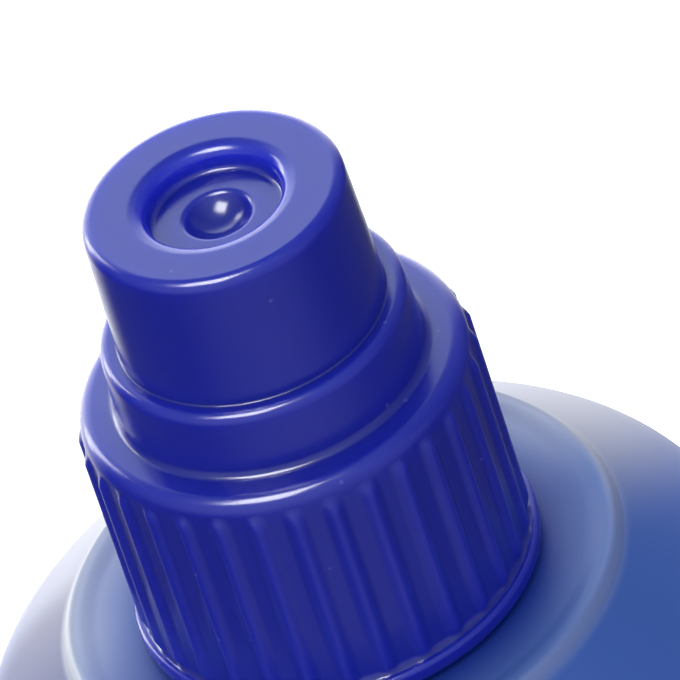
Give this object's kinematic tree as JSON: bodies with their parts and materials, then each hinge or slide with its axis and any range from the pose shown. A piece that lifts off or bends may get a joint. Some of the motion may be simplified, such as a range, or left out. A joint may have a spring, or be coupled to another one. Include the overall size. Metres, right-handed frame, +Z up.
{
  "type": "ink refill bottle",
  "caption": "Round squeezable ink refill bottle with a sloping shoulder, a dropper nozzle in its neck and a stepped, ribbed screw cap with a recessed top.",
  "frame": {"origin": "centre of the standing ring, on the surface the bottle stands on", "axes": "+Z up along the bottle's axis, towards the cap"},
  "size_m": [0.0396, 0.0396, 0.0847],
  "materials": {
    "bottle_plastic": "natural translucent, smooth",
    "ink": "liquid",
    "nozzle_plastic": "natural, smooth",
    "washer_foam": "fine closed-cell foam",
    "cap_plastic": "glossy moulded"
  },
  "bodies": {
    "bottle": {"bottle": "bottle_plastic", "ink": "ink", "dropper_nozzle": "nozzle_plastic"},
    "washer": {"sealing_washer": "washer_foam"},
    "cap": {"cap": "cap_plastic"}
  },
  "joints": [
    {"name": "cap_rise", "type": "slide", "parent": "bottle", "child": "washer", "axis": [0, 0, 1], "range_m": [0, 0.0048]},
    {"name": "cap_turn", "type": "hinge", "parent": "washer", "child": "cap", "pos_m": [0, 0, 0.0666], "axis": [0, 0, 1], "range_deg": [0, 540]}
  ],
  "couplings": [
    {"joint": "cap_rise", "follows": "cap_turn", "m_per_rad": 0.00050532}
  ]
}
